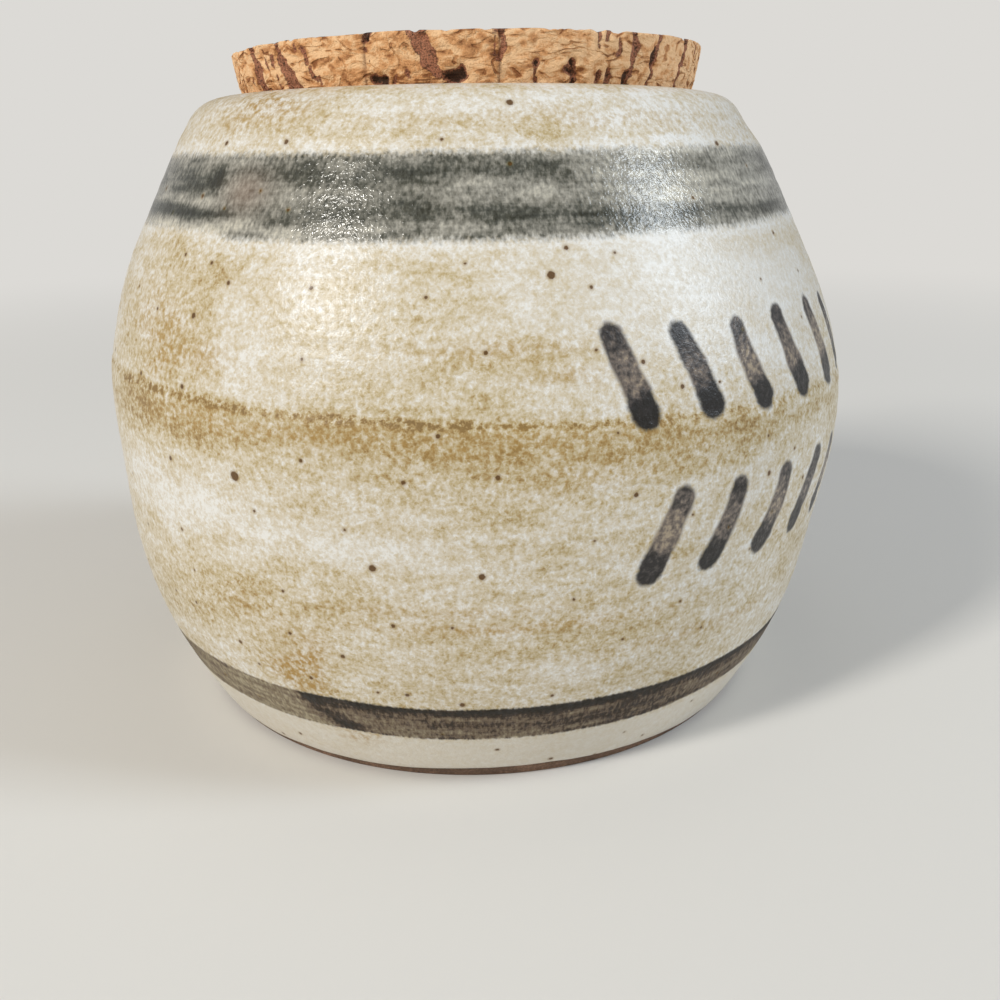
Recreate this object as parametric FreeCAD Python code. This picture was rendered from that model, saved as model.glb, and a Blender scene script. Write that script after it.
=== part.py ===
"""Hand-thrown stoneware canister with a tapered cork stopper, in millimetres.

The pot is turned from one wall line: a full lower wall, a soft crease where the
shoulder was laid in, a long leaning shoulder and a rounded lip. The inside
follows the outside at the wall's thickness, and closes in under the lip to a
tapered throat that seats the cork. Sizes of the mouth come from the cork. The
origin is on the table, at the centre of the foot. +Z is up.
"""
import FreeCAD, Part
import math
import os

# Outside of the pot
FOOT_RADIUS = 67.1           # where the lower wall meets the foot bevel
FOOT_BEVEL = 0.9             # sponged edge of the clay, in from the wall and up from the table
FOOT_LEAN = 31.0             # degrees that the wall leans out as it leaves the foot
BELLY_RADIUS = 84.0          # widest place
BELLY_HEIGHT = 69.0
LOWER_FULLNESS = (5.1, 4.0)  # how far the lower wall stands out of a straight line,
                             # a third and two thirds of the way up to the widest place
CREASE_RISE = 9.5            # from the widest place up to the crease
CREASE_INSET = 0.7           # how far the crease stands inside the widest place
CREASE_LEANS = (8.0, 15.0)   # degrees that the wall leans in just under and over the crease
SHOULDER_FULLNESS = (2.1, 1.5)  # the same for the shoulder, from the crease to the lip's corner
LIP_HEIGHT = 132.2           # whole height of the pot
LIP_LAND = 2.6               # level top of the lip, from the throat out to its crest
LIP_ROLL = 10.3               # from the crest out to the corner where the shoulder starts
LIP_DROP = 6.2               # and down to it

# Inside of the pot
WALL = 5.6
FLOOR = 7.5
FLOOR_CORNER = 13.0          # rounding between the floor and the wall
THROAT_DEPTH = 8.5           # height of the seat under the lip
THROAT_EDGE = 1.0            # rounding of the lip's inner edge
COLLAR_CORNER = 3.5          # rounding between the wall and the collar's underside

# Cork
CORK_TOP_RADIUS = 50.9
CORK_THICKNESS = 20.5
CORK_STANDS = 9.6            # how far the cork stands above the lip
CORK_TAPER = 0.19            # radius lost for each millimetre down
CORK_TOP_EDGE = 0.6          # wear on the cork's edges
CORK_BOTTOM_EDGE = 0.8
SEAT_CLEARANCE = 0.1         # between the cork and the throat, along the radius

# Places on a wall line that the inside is set off from, as shares of its length
LOWER_STATIONS = (0.0, 0.12, 0.25, 0.4, 0.55, 0.7, 0.85)
UPPER_STATIONS = (0.12, 0.3, 0.5, 0.7, 0.85, 1.0)

FULL_TURN = 360
CENTRE = FreeCAD.Vector(0, 0, 0)
UP = FreeCAD.Vector(0, 0, 1)


def place(radius, height):
    """A point of the half section, in the XZ plane."""
    return FreeCAD.Vector(radius, 0, height)


def leaning_in(degrees):
    """Direction up a wall that leans in towards the axis by this much from upright."""
    angle = math.radians(degrees)
    return FreeCAD.Vector(-math.sin(angle), 0, math.cos(angle))


def cork_radius(height):
    """Radius of the cork's side at a height above the table."""
    cork_top = LIP_HEIGHT + CORK_STANDS
    return CORK_TOP_RADIUS - CORK_TAPER * (cork_top - height)


def throat_radius(height):
    """Radius of the seat, which has the cork's own taper."""
    return cork_radius(height) + SEAT_CLEARANCE


def crease():
    """Where the lower wall ends and the shoulder starts."""
    return place(BELLY_RADIUS - CREASE_INSET, BELLY_HEIGHT + CREASE_RISE)


def lip_crest():
    """Outer end of the lip's level top."""
    return place(throat_radius(LIP_HEIGHT) + LIP_LAND, LIP_HEIGHT)


def full_line(low, high, fullness):
    """The points from low to high, with evenly spaced ones between that stand out."""
    points = [low]
    for step, stands_out in enumerate(fullness, start=1):
        point = low + (high - low) * (step / (len(fullness) + 1))
        points.append(place(point.x + stands_out, point.z))
    points.append(high)
    return points


def smooth_line(points, start_lean, end_lean):
    """A spline through the points, with its lean towards the axis given at both ends."""
    line = Part.BSplineCurve()
    line.interpolate(
        Points=points,
        InitialTangent=leaning_in(start_lean),
        FinalTangent=leaning_in(end_lean),
    )
    return line


def lower_wall():
    """Outside line from the foot bevel over the widest place to the crease."""
    foot = place(FOOT_RADIUS, FOOT_BEVEL)
    belly = place(BELLY_RADIUS, BELLY_HEIGHT)
    points = full_line(foot, belly, LOWER_FULLNESS)
    return smooth_line(points + [crease()], -FOOT_LEAN, CREASE_LEANS[0])


def upper_wall():
    """Outside line from the crease over the shoulder and round the lip to its crest."""
    crest = lip_crest()
    corner = place(crest.x + LIP_ROLL, crest.z - LIP_DROP)
    points = full_line(crease(), corner, SHOULDER_FULLNESS)
    return smooth_line(points + [crest], CREASE_LEANS[1], 90)


def revolved(edges):
    """Solid turned about the axis from the half section that the edges close."""
    section = Part.Face(Part.Wire(edges))
    return section.revolve(CENTRE, UP, FULL_TURN)


def outside_form():
    """The pot's outside, filled in to the axis."""
    lower = lower_wall()
    upper = upper_wall()
    foot = place(FOOT_RADIUS - FOOT_BEVEL, 0)
    top_centre = place(0, LIP_HEIGHT)
    edges = [
        Part.makeLine(CENTRE, foot),
        Part.makeLine(foot, lower.StartPoint),
        lower.toShape(),
        upper.toShape(),
        Part.makeLine(upper.EndPoint, top_centre),
        Part.makeLine(top_centre, CENTRE),
    ]
    return revolved(edges)


def set_in(line, shares):
    """Points inside the wall, square to the line at shares of its length."""
    points = []
    for share in shares:
        reach = line.FirstParameter + share * (line.LastParameter - line.FirstParameter)
        along = line.tangent(reach)[0]
        inwards = FreeCAD.Vector(-along.z, 0, along.x)
        points.append(line.value(reach) + inwards * WALL)
    return points


def edge_at(shape, height, radius):
    """The round edge of a turned solid that lies nearest to a height and radius."""
    circles = [e for e in shape.Edges if e.Curve.TypeId == "Part::GeomCircle"]
    return min(
        circles,
        key=lambda e: math.hypot(e.Curve.Center.z - height, e.Curve.Radius - radius),
    )


def height_on(line, height):
    """Where along a wall line it passes a height."""
    level = Part.LineSegment(place(0, height), place(BELLY_RADIUS, height))
    crossing = line.intersectCC(level)[0].toShape().Point
    return line.parameter(crossing)


def belly_room():
    """The space inside the pot, from the floor up to the collar's underside."""
    line = Part.BSplineCurve()
    line.interpolate(
        Points=set_in(lower_wall(), LOWER_STATIONS) + set_in(upper_wall(), UPPER_STATIONS)
    )
    ceiling = LIP_HEIGHT - THROAT_DEPTH
    wall = line.toShape(height_on(line, FLOOR), height_on(line, ceiling))
    floor_end, ceiling_end = [vertex.Point for vertex in wall.Vertexes]
    floor_centre = place(0, FLOOR)
    ceiling_centre = place(0, ceiling)
    room = revolved([
        Part.makeLine(floor_centre, floor_end),
        wall,
        Part.makeLine(ceiling_end, ceiling_centre),
        Part.makeLine(ceiling_centre, floor_centre),
    ])
    room = room.makeFillet(FLOOR_CORNER, [edge_at(room, FLOOR, floor_end.x)])
    return room.makeFillet(COLLAR_CORNER, [edge_at(room, ceiling, ceiling_end.x)])


def throat():
    """The tapered mouth that the cork sits in, cut through the collar."""
    bottom = LIP_HEIGHT - THROAT_DEPTH - COLLAR_CORNER
    return Part.makeCone(
        throat_radius(bottom),
        throat_radius(LIP_HEIGHT),
        LIP_HEIGHT - bottom,
        place(0, bottom),
    )


def make_pot():
    """The thrown pot: its outside less the room inside and the throat."""
    pot = outside_form().cut(belly_room()).cut(throat()).Solids[0]
    inner_edge = edge_at(pot, LIP_HEIGHT, throat_radius(LIP_HEIGHT))
    return pot.makeFillet(THROAT_EDGE, [inner_edge])


def make_cork():
    """The tapered cork disc, seated in the throat."""
    top = LIP_HEIGHT + CORK_STANDS
    bottom = top - CORK_THICKNESS
    cork = Part.makeCone(
        cork_radius(bottom),
        cork_radius(top),
        CORK_THICKNESS,
        place(0, bottom),
    )
    cork = cork.makeFillet(CORK_TOP_EDGE, [edge_at(cork, top, cork_radius(top))])
    return cork.makeFillet(CORK_BOTTOM_EDGE, [edge_at(cork, bottom, cork_radius(bottom))])


def save(node, shape):
    """Write a sub-part's one solid under its node's name."""
    solid = shape.Solids[0]
    print(node, "valid:", solid.isValid(), "cm3:", round(solid.Volume / 1000, 2))
    solid.exportStep("parts/" + node + ".step")


os.makedirs("parts", exist_ok=True)
save("stoneware_pot", make_pot())
save("cork_stopper", make_cork())
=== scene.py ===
"""Stoneware canister with a cork stopper: the looks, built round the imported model.

The pot and the cork are turned again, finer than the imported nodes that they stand
for, with the marks that throwing, glazing and brushing leave. All lengths inside
the makers' functions are in millimetres, and azimuths are degrees from the front
(-Y) towards +X. The frame itself is in metres.
"""
import math
import random

import bpy
import numpy as np
from bpy.props import FloatProperty, FloatVectorProperty, IntProperty, PointerProperty
from mathutils import Matrix, Vector, noise


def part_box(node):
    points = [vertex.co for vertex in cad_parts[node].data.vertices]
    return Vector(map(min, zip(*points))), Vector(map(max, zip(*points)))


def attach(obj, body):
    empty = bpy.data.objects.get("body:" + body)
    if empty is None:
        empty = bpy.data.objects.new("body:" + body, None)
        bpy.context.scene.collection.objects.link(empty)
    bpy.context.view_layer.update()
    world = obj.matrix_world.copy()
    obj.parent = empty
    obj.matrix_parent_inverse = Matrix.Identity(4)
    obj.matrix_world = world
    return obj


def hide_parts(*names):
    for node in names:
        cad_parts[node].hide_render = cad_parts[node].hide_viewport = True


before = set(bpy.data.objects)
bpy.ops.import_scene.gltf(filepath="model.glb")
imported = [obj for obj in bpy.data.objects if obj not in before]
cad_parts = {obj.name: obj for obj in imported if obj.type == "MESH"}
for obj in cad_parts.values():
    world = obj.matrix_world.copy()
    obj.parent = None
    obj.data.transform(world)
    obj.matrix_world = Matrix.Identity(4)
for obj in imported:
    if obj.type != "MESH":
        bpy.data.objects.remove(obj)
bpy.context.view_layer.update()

bl_info = {
    "name": "Stoneware Canister",
    "version": (1, 0, 0),
    "blender": (4, 5, 0),
    "location": "3D View > Sidebar > Canister",
    "description": "A hand-thrown stoneware canister with a cut cork stopper",
    "category": "Object",
}

MM = 0.001


def linear(hex_colour):
    """Linear RGB of an sRGB hex value."""
    parts = [int(hex_colour[i:i + 2], 16) / 255 for i in (1, 3, 5)]
    return tuple(p / 12.92 if p <= 0.04045 else ((p + 0.055) / 1.055) ** 2.4 for p in parts)


# ---------------------------------------------------------------- settings

def colour_setting(name, description, hex_colour):
    """A colour that a user may change."""
    return FloatVectorProperty(
        name=name, description=description, default=linear(hex_colour),
        subtype="COLOR", size=3, min=0, max=1,
    )


def length_setting(name, description, millimetres):
    """A length that a user may change."""
    return FloatProperty(
        name=name, description=description, default=millimetres * MM, min=0,
        subtype="DISTANCE", unit="LENGTH", precision=5,
    )


class CanisterPotSettings(bpy.types.PropertyGroup):
    """Sizes and colours of the thrown and glazed pot."""
    sides: IntProperty(
        name="Sides", description="Faces round the pot", default=432, min=64, max=460,
    )
    ring_depth: length_setting(
        "Throwing rings", "How deep the potter's finger left its rings", 0.16)
    crease_wander: length_setting(
        "Crease wander", "How far the crease drops from the left side to the right", 2.2)
    slump: length_setting(
        "Slump", "How far the foot and the lip stand to the left of the belly", 1.2)
    glaze_step: length_setting(
        "Glaze step", "Thickness of the glaze where it stops over the bare foot", 0.3)
    grain: length_setting(
        "Glaze grain", "Size of the mottles that the glaze breaks into", 1.1)
    white: colour_setting("White", "Thickest glaze", "#E2E1DD")
    cream: colour_setting("Cream", "Thick glaze", "#D6D0C4")
    beige: colour_setting("Beige", "Ordinary glaze", "#CABEA6")
    tan: colour_setting("Tan", "Thin glaze over the clay's iron", "#B9A984")
    ochre: colour_setting("Ochre", "Thinnest glaze", "#A58B5D")
    brown: colour_setting("Brown", "Iron showing at an edge", "#80673F")
    clay: colour_setting("Clay", "Bare stoneware of the foot", "#6C5443")


class CanisterCorkSettings(bpy.types.PropertyGroup):
    """Sizes and colours of the cork stopper."""
    sides: IntProperty(
        name="Sides", description="Faces round the cork", default=720, min=96, max=760,
    )
    tilt: FloatProperty(
        name="Tilt", description="How much higher the cork was cut on the right, as a slope",
        default=0.0126, min=0, max=0.02,
    )
    wrinkle: length_setting("Wrinkles", "Depth of the wrinkles in the cut side", 0.5)
    # The light and dark cork colours also paint light and shade: lighter crests on the wrinkles
    # of the side, and painted shade in the hollows between them.
    light: colour_setting("Light cork", "Crests of the wrinkles", "#EDC294")
    middle: colour_setting("Middle cork", "Plain cork", "#D59D6A")
    dark: colour_setting("Dark cork", "Hollows between the wrinkles", "#8C5832")
    lenticel: colour_setting("Lenticels", "Powdery bark in the pores", "#A2694F")
    pit: colour_setting("Pits", "Bottom of the deepest pores", "#34201A")


class CanisterStageSettings(bpy.types.PropertyGroup):
    """Light and floor."""
    floor: colour_setting("Floor", "Plain pale floor", "#DCDAD6")
    key_power: FloatProperty(
        name="Key light", description="Power of the left softbox", default=45.0, min=0,
        subtype="POWER", unit="POWER",
    )
    side_power: FloatProperty(
        name="Side light", description="Power of the right softbox", default=29.5, min=0,
        subtype="POWER", unit="POWER",
    )
    sky: FloatProperty(
        name="Room light", description="Strength of the light from all round",
        default=0.41, min=0, max=2,
    )


# ------------------------------------------------------------ small helpers

def add_node(tree, kind, inputs=None, **settings):
    """Adds a node with its settings, and sets or links its inputs."""
    node = tree.nodes.new(kind)
    for name, value in settings.items():
        setattr(node, name, value)
    for key, value in (inputs or {}).items():
        if isinstance(value, bpy.types.NodeSocket):
            tree.links.new(value, node.inputs[key])
        else:
            node.inputs[key].default_value = value
    return node


def set_stops(ramp_node, stops):
    """Gives a colour ramp its stops, each a place and a linear RGB colour."""
    elements = ramp_node.color_ramp.elements
    while len(elements) < len(stops):
        elements.new(0.5)
    for element, (place, colour) in zip(elements, stops):
        element.position = place
        element.color = (*colour, 1)


def new_material(name):
    """An empty material with a principled shader, as (material, tree, shader)."""
    material = bpy.data.materials.new(name)
    material.use_nodes = True
    tree = material.node_tree
    tree.nodes.clear()
    shader = add_node(tree, "ShaderNodeBsdfPrincipled")
    add_node(tree, "ShaderNodeOutputMaterial", {"Surface": shader.outputs["BSDF"]})
    return material, tree, shader


def soft_step(value, low, high):
    """0 below low, 1 above high, and smooth between."""
    share = np.clip((value - low) / (high - low), 0, 1)
    return share * share * (3 - 2 * share)


def bell(value, centre, reach):
    """1 at the centre, falling away smoothly over the reach."""
    return np.exp(-(((value - centre) / reach) ** 2))


def degrees_from(azimuth, centre):
    """Signed degrees from a centre, the short way round."""
    return (azimuth - centre + 180) % 360 - 180


def patch(azimuth, height, place, level, reach, rise):
    """A soft patch on the wall: 1 at its place and level, less and less away from it."""
    return bell(degrees_from(azimuth, place), 0, reach) * bell(height, level, rise)


def stroke_share(across, up, lean, fall):
    """How far along a straight stroke each point lies, from 0 at its top to 1."""
    return np.clip((across * lean + up * fall) / (lean * lean + fall * fall), 0, 1)


def lumps(points, size, seed):
    """Smooth noise in about -1..1 at each point, with lumps of about this size."""
    shift = Vector((seed * 17.3, seed * 5.1, seed * 9.7))
    flat = (points.reshape(-1, 3) / size).tolist()
    values = [noise.noise(Vector(p) + shift) for p in flat]
    return np.array(values).reshape(points.shape[:-1]) * 1.6


def turned(azimuth, radius, height):
    """The points at these azimuths, radii and heights."""
    turn = np.radians(azimuth)
    return np.stack([np.sin(turn) * radius, -np.cos(turn) * radius, height], axis=-1)


def turned_skin(name, rings, first, last):
    """A closed mesh object from rings of points, with a pole at each end.

    rings is an array of (ring, side, xyz), going up the outside."""
    count, sides = rings.shape[:2]
    points = np.vstack([rings.reshape(-1, 3), [first], [last]]) * MM
    ring, side = np.meshgrid(np.arange(count - 1), np.arange(sides), indexing="ij")
    after = (side + 1) % sides
    quads = np.stack(
        [ring * sides + side, ring * sides + after,
         (ring + 1) * sides + after, (ring + 1) * sides + side], axis=-1,
    ).reshape(-1, 4).tolist()
    here = np.arange(sides)
    there = (here + 1) % sides
    top = (count - 1) * sides
    fans = [(count * sides, int(b), int(a)) for a, b in zip(here, there)]
    fans += [(count * sides + 1, int(top + a), int(top + b)) for a, b in zip(here, there)]
    mesh = bpy.data.meshes.new(name)
    mesh.from_pydata(points.tolist(), [], quads + fans)
    mesh.shade_smooth()
    piece = bpy.data.objects.new(name, mesh)
    bpy.context.scene.collection.objects.link(piece)
    return piece


def store(piece, name, values, kind="FLOAT"):
    """Keeps a value for each point of the rings, with nothing at the two poles."""
    width = 3 if kind == "FLOAT_VECTOR" else 1
    flat = np.zeros((len(piece.data.vertices), width), np.float32)
    values = np.asarray(values, np.float32).reshape(-1, width)
    flat[:len(values)] = values
    layer = piece.data.attributes.new(name, kind, "POINT")
    layer.data.foreach_set("vector" if width == 3 else "value", flat.ravel())


# ------------------------------------------------------------------ the pot

LIP_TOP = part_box("stoneware_pot")[1].z / MM
FOOT_EDGE = 0.6               # rings nearer along the outline than this are the base's edge
GLAZE_LINE = 2.4              # how far along the outline from that edge the glaze stops
CREASE = 78.3                 # where the shoulder was laid into the belly
UPPER_BAND = (107.2, 120.9)   # slate wash round the shoulder
LOWER_BAND = (13.0, 22.0)     # umber wash round the foot
BAND_START = -27.6            # azimuth where the umber brush was set down
RING_RISE = 4.6               # how far the potter's finger rose in one turn of the wheel
FINE_RING_RISE = 2.9          # spacing of the fainter rings between
LEAST_DEPTH = 0.02            # keeps the base and the foot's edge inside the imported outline
DAB_GIRTH = 83                # radius of the wall at the dabs
SPECK_TRIES = 460             # random places tried for more specks
SPECK_SPACING = 7.5           # least distance from one speck to the next
SPECK_ROOM = 2.4              # how far round a speck the wall knows of it

# Places where the glaze ran thick or thin: azimuth, height, reach round in degrees,
# reach up, and how much more of the clay's iron shows there. The pale clouds at (-15, 96)
# and (42, 98) are partly painted highlight, whitening the glaze where the softboxes shine.
IRON_AND_SHEEN_CLOUDS = (
    (-43, 90, 9, 7, 0.04), (-52, 84, 16, 3.5, 0.07), (-48, 101, 16, 6, 0.02),
    (-31, 88, 5, 8, -0.12), (-36, 104, 5, 5, 0.06), (-15, 96, 17, 9, -0.13),
    (-25, 98, 8, 6, 0.05), (42, 98, 34, 12, -0.26), (30, 84, 22, 5, -0.14),
    (4, 89, 13, 6, 0.23), (70, 104, 12, 3, 0.10), (8, 74, 40, 6, 0.13), (-25, 28, 4, 7, 0.17),
    (-20, 72, 9, 5, 0.05), (60, 71, 24, 5, 0.12), (-52, 74, 16, 4, 0.13),
    (-45, 58, 22, 6.5, -0.26), (-12, 57, 16, 5, -0.12), (22, 56, 22, 8, 0.02),
    (-8, 42, 40, 7, 0.04), (25, 38, 34, 3.5, 0.08), (0, 31, 42, 8, -0.02),
    (-44, 36, 20, 10, 0.12), (-57, 44, 9, 4, -0.06), (55, 34, 22, 9, 0.0),
    (-46, 129, 13, 4.5, -0.04), (-28, 126, 10, 3, 0.10), (5, 123.5, 40, 2.4, 0.10),
    (20, 129.5, 30, 2.6, -0.12), (40, 126, 22, 5, -0.12), (62, 127, 16, 4, -0.04),
    (0, 127.5, 62, 5, -0.06), (120, 90, 20, 9, 0.20), (168, 97, 26, 8, -0.18),
    (-150, 88, 22, 10, 0.18), (-105, 96, 20, 10, -0.12), (150, 72, 50, 6, 0.16),
    (-120, 72, 36, 5, 0.15), (130, 56, 26, 7, -0.22), (-150, 50, 24, 9, -0.14),
    (-170, 36, 40, 9, 0.08), (100, 40, 26, 8, -0.04), (-95, 38, 22, 10, 0.05),
    (150, 128, 20, 4, 0.18), (-120, 127, 22, 4, 0.12),
)

# Places where iron crusts golden on the glaze, in the same order of values
RUST_CLOUDS = (
    (-27.5, 27, 3.4, 5, 1.7), (-24, 33, 3.4, 6, 1.0), (-23.5, 26, 1.4, 4, 0.8),
    (-44, 87, 7, 5, 1.2), (-50, 94, 7, 5, 0.6), (-40, 76, 9, 2.6, 0.8), (-41, 129.5, 12, 3, 1.4),
    (-20, 76.5, 22, 1.6, 0.6), (6, 75, 32, 3.2, 0.75), (14, 69, 16, 3, 0.5),
    (2, 90, 8, 1.6, 0.8), (9, 85.5, 7, 1.2, 0.8), (-8, 44, 16, 1.2, 0.7),
    (5, 40.2, 20, 1.1, 1.1), (30, 33, 14, 1.2, 0.7), (-19, 11.5, 3.4, 1.8, 1.0),
    (-34, 40, 6, 3, 0.6), (20, 126, 26, 1.6, 0.5), (150, 74, 30, 3, 0.6),
    (-130, 86, 12, 6, 0.8), (112, 31, 7, 6, 1.1), (160, 129, 14, 3, 1.0),
    (-100, 75, 20, 3, 0.6), (178, 44, 18, 1.4, 0.8),
)

# Where the slate brush was heavy or light, in the same order of values
SLATE_STREAKS = (
    (-22, 117.6, 34, 1.3, 0.30), (2, 118.4, 10, 0.9, 0.2), (-54, 110.9, 17, 1.1, 0.72),
    (-52, 116.2, 9, 1.5, 0.44), (-55, 113.9, 7, 0.9, 0.2), (-43, 116.8, 1.2, 2.2, 0.42),
    (0, 111.2, 32, 1.6, 0.18), (38, 110.2, 24, 0.9, 0.28), (52, 110.4, 12, 1.1, 0.22),
    (58, 118.2, 14, 1.0, 0.16), (-58, 108.6, 22, 1.0, -0.42), (-37, 109.0, 5, 0.8, -0.2),
    (-36, 114.6, 4, 3.2, -0.14), (33, 115, 22, 6, -0.20), (66, 113.5, 12, 3, -0.12),
    (-20, 108, 26, 0.9, -0.12), (120, 116.8, 30, 1.6, 0.22), (175, 111, 34, 1.7, 0.20),
    (-130, 117.2, 30, 1.5, 0.2), (-95, 112, 20, 2.0, 0.14), (150, 114, 16, 3, -0.16),
    (-165, 114.5, 12, 3.2, -0.12),
)

# Iron specks that came up through the glaze: azimuth, height, width across
IRON_SPECKS = (
    (9.7, 101.5, 1.3), (12.9, 105.2, 0.7), (-31.8, 66.5, 1.7), (-43.8, 65.8, 0.8),
    (-13.4, 52, 1.25), (0, 51.3, 1.1), (-39.6, 93.5, 0.95), (-34, 99.3, 0.7),
    (6.7, 128.6, 1.1), (1.9, 69.4, 0.8), (-2.2, 23.3, 0.9), (-18.7, 33.6, 0.8),
    (-35.8, 30.3, 0.8), (-44, 122.6, 0.8), (-30, 122.5, 0.8), (39.6, 63.4, 0.9),
    (18.5, 65.4, 0.8), (36.3, 91, 0.7), (11.9, 4.3, 0.8), (45.7, 121.8, 0.9),
    (31, 130, 0.7), (-9, 68.3, 0.7), (-21.4, 71, 0.6), (-44, 52.6, 0.6),
    (-11.2, 40.7, 0.7), (-3, 41, 0.5), (1, 89.5, 0.7), (-45, 104, 0.6),
    (-20.5, 99.6, 0.6), (-44, 36.5, 0.6), (-50, 37, 0.5), (10, 24, 0.6),
    (-10.4, 24.8, 0.7), (-14.3, 25.2, 0.5), (15, 99.5, 0.6), (-6, 98, 0.5),
    (-38, 102.5, 0.6), (-22, 88, 0.5), (19, 104.6, 0.4), (-29, 60.3, 0.5),
    (-16.5, 59.5, 0.5), (33, 55, 0.5), (-25.6, 45.5, 0.5), (-52, 79.8, 0.7),
    (-41.2, 80.4, 0.8), (20, 2.9, 0.5), (-33, 26, 0.5), (-26, 36.2, 0.6),
)


def turned_outline(node):
    """Half section of a turned node: its rings from the foot's edge round to the floor."""
    corners = np.array([corner.co for corner in node.data.vertices]) / MM
    rings = np.column_stack([np.hypot(corners[:, 0], corners[:, 1]), corners[:, 2]])
    rings = np.unique(rings.round(2), axis=0)
    nearest = np.lexsort((-rings[:, 0], rings[:, 1]))[0]
    outline = []
    while True:
        outline.append(rings[nearest])
        rings = np.delete(rings, nearest, axis=0)
        if not len(rings):
            return np.array(outline)
        nearest = np.argmin(((rings - outline[-1]) ** 2).sum(axis=1))


def pot_stations(outline, along):
    """Places along the outline that get a ring, close together where the pot shows."""
    lip = along[np.argmax(outline[:, 1] > LIP_TOP - 0.05)]
    throat = along[np.argmin(outline[:, 0] + 100 * (along < lip))]
    return np.concatenate([
        np.arange(0, 4, 0.42), np.arange(4, lip, 1.15), np.arange(lip, throat, 0.5),
        np.arange(throat, throat + 8, 1.2), np.arange(throat + 8, along[-1], 5), along[-1:],
    ]), throat


def cloud_field(azimuth, height, points, clouds):
    """Sum of soft clouds laid on the wall, with ragged outlines."""
    sway = 7 * lumps(points * (1, 1, 2.2), 13, 1)
    heave = 2.6 * lumps(points * (1, 1, 2.2), 11, 2)
    total = np.zeros_like(azimuth)
    for place, level, reach, rise, amount in clouds:
        # A small cloud keeps its place, and a large one is torn more.
        torn_round = azimuth + sway * min(1, reach / 14)
        torn_up = height + heave * min(1, rise / 6)
        total += amount * patch(torn_round, torn_up, place, level, reach, rise)
    return total


def store_iron_sheen_and_shade(piece, azimuth, height, points, crease_rise):
    """How much iron shows through the glaze and how broken it is, with painted highlight and
    shade.
    """
    iron_sheen_and_shade = 0.37 + cloud_field(azimuth, height, points, IRON_AND_SHEEN_CLOUDS)
    iron_sheen_and_shade += 0.07 * lumps(points * (1, 1, 2.5), 34, 3)
    # The pot was dipped twice, and the second coat ends upright at the left of the front.
    past_dip = azimuth + 35 + 1.6 * lumps(points, 12, 16)
    single = soft_step(-past_dip, -1.2, 1.8) * (1 - soft_step(-past_dip, 8, 34))
    iron_sheen_and_shade += 0.06 * (single - 0.6 * bell(past_dip, 4.5, 3.2)) * bell(height, 93, 13)
    above_foot = soft_step(height, 11.5, 14.5)
    # Under the umber band the glaze lies smooth, and its tone there holds a little painted shade
    # where the wall turns under.
    foot_iron_and_shade = 0.24
    iron_sheen_and_shade = foot_iron_and_shade + (iron_sheen_and_shade - foot_iron_and_shade) * above_foot
    store(piece, "iron_sheen_and_shade", iron_sheen_and_shade)
    store(piece, "rust", cloud_field(azimuth, height, points, RUST_CLOUDS))
    # The mottles are calmed on the right shoulder, partly as painted highlight washing them out.
    calm_in_highlight = 0.5 * patch(azimuth, height, 42, 99, 34, 11)
    breaks = (0.82 + 0.5 * iron_sheen_and_shade) * (1 - calm_in_highlight)
    store(piece, "broken_and_highlight_calm", breaks * (0.25 + 0.75 * above_foot))
    store(piece, "crease_rise", crease_rise)
    strength = 0.55 + 0.45 * np.cos(np.radians(azimuth + 8))
    strength = np.maximum(strength, 0.35) + 0.3 * lumps(points * (1, 1, 0.2), 16, 4)
    strength += 0.25 * lumps(points * (1, 1, 0.2), 5, 14)
    store(piece, "crease_iron", strength * (1 - 0.5 * soft_step(azimuth, 20, 40)))


def store_upper_band(piece, azimuth, height, points):
    """The slate wash on the shoulder: distance inside its edges, and how heavy it lies."""
    waver = 0.35 * lumps(points * (1, 1, 0.1), 26, 5)
    step = 1.2 * soft_step(azimuth, -42, -34) * soft_step(-azimuth, -60, 10)
    low = UPPER_BAND[0] + 0.6 - step + waver + 1.1 * soft_step(azimuth, 40, 100)
    high = UPPER_BAND[1] + waver + 0.6 * soft_step(azimuth, 0, 60)
    store(piece, "upper_edge", np.minimum(height - low, high - height))
    load = 0.49 + 0.14 * lumps(points * (0.35, 0.35, 1), 2.6, 6)
    load += 0.15 * lumps(points * (0.16, 0.16, 1), 1.5, 7)
    load -= 0.13 * bell(degrees_from(azimuth, -48), 0, 22)
    load -= 0.10 * bell(degrees_from(azimuth, 45), 0, 22)
    sway = 0.5 * lumps(points * (1, 1, 0.1), 18, 8)
    for place, level, reach, rise, amount in SLATE_STREAKS:
        load += amount * patch(azimuth, height + sway, place, level, reach, rise)
    store(piece, "upper_load", load)
    taupe = 0.45 * patch(azimuth, height, -35.5, 114.6, 4.5, 3.2)
    store(piece, "upper_taupe", taupe + 0.225 * bell(degrees_from(azimuth, 158), 0, 8))


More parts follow.
